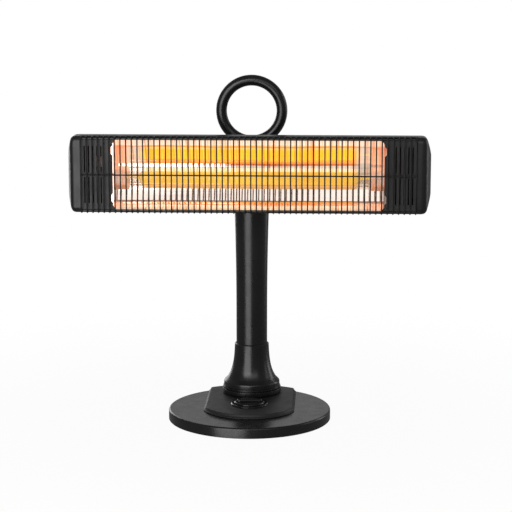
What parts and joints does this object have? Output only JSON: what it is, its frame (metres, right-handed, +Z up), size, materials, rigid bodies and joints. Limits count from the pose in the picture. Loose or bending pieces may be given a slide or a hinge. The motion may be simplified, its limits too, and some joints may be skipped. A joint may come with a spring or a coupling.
{
  "type": "table-top infrared heater",
  "caption": "Black table-top outdoor heater: a wide infrared lamp head behind a wire guard tilts on a swivelling column with a ring handle above a round weighted base.",
  "frame": {"origin": "on the floor under the centre of the round base", "axes": "+Z up; the heater faces -Y; +X runs along the head to the right of someone who faces the heater"},
  "size_m": [0.525, 0.24, 0.5049],
  "materials": {
    "black_paint": "satin black paint",
    "black_shell": "satin black coating",
    "black_plastic": "satin black moulding",
    "vent_black": "matt black moulding",
    "rubber": "matt",
    "zinc_steel": "zinc plated",
    "cast_iron": "as cast",
    "reflector_sheet": "polished",
    "guard_wire": "black coated wire",
    "quartz": "clear quartz",
    "glowing_element": "glowing heating element",
    "ceramic": "unglazed white",
    "switch_plastic": "moulded",
    "cable": "black jacket",
    "plunger_red": "moulded"
  },
  "bodies": {
    "base": {"base_cover": "black_paint", "base_ballast": "cast_iron", "base_plate": "zinc_steel", "foot_1": "rubber", "foot_2": "rubber", "foot_3": "rubber", "foot_4": "rubber", "base_screw_1": "zinc_steel", "base_screw_2": "zinc_steel", "base_screw_3": "zinc_steel", "cable_gland": "switch_plastic", "control_housing": "black_plastic", "knob_bezel": "black_plastic", "rotary_switch": "switch_plastic", "tip_switch": "switch_plastic", "foot_collar": "black_plastic", "swivel_post": "zinc_steel", "post_nut": "zinc_steel", "swivel_nut": "zinc_steel"},
    "power_knob": {"switch_knob": "black_plastic"},
    "plunger": {"tip_plunger": "plunger_red"},
    "column": {"swivel_ring": "black_plastic", "swivel_hub": "switch_plastic", "column_skirt": "black_plastic", "column_tube": "black_paint", "column_cap": "black_plastic", "carry_ring": "black_plastic", "ring_screw": "zinc_steel", "bracket_screw_1": "zinc_steel", "bracket_screw_2": "zinc_steel", "column_lead": "cable", "tilt_bracket": "black_shell", "tilt_bolt": "zinc_steel", "tilt_washer_left": "zinc_steel", "tilt_washer_right": "zinc_steel"},
    "clamp_knob": {"tilt_knob": "black_plastic"},
    "head": {"head_arm": "black_shell", "arm_screw_1": "zinc_steel", "arm_screw_2": "zinc_steel", "arm_screw_3": "zinc_steel", "arm_screw_4": "zinc_steel", "rear_shell": "black_shell", "end_cap_left": "black_plastic", "end_cap_right": "black_plastic", "vent_panel_left": "vent_black", "vent_panel_right": "vent_black", "reflector": "reflector_sheet", "reflector_end_left": "reflector_sheet", "reflector_end_right": "reflector_sheet", "lamp_tube": "quartz", "lamp_element": "glowing_element", "lamp_socket_left": "ceramic", "lamp_socket_right": "ceramic", "lamp_holder_left": "zinc_steel", "lamp_holder_right": "zinc_steel", "terminal_block": "ceramic", "thermal_cutout": "zinc_steel", "lamp_lead": "cable", "guard": "guard_wire"}
  },
  "joints": [
    {"name": "knob_turn", "type": "hinge", "parent": "base", "child": "power_knob", "pos_m": [0, -0.005, 0.0225], "axis": [0, 0, 1], "range_deg": [-180, 0]},
    {"name": "plunger_drop", "type": "slide", "parent": "base", "child": "plunger", "axis": [0, 0, -1], "range_m": [0, 0.004], "stiffness_N_per_m": 40, "springref_m": 0.005},
    {"name": "column_swivel", "type": "hinge", "parent": "base", "child": "column", "pos_m": [0, 0.072, 0.033], "axis": [0, 0, 1], "range_deg": [-45, 45]},
    {"name": "clamp_turn", "type": "hinge", "parent": "column", "child": "clamp_knob", "pos_m": [0, 0.031, 0.3688], "axis": [1, 0, 0], "range_deg": [0, 270]},
    {"name": "head_tilt", "type": "hinge", "parent": "column", "child": "head", "pos_m": [0, 0.031, 0.3688], "axis": [1, 0, 0], "range_deg": [-20, 30]}
  ]
}
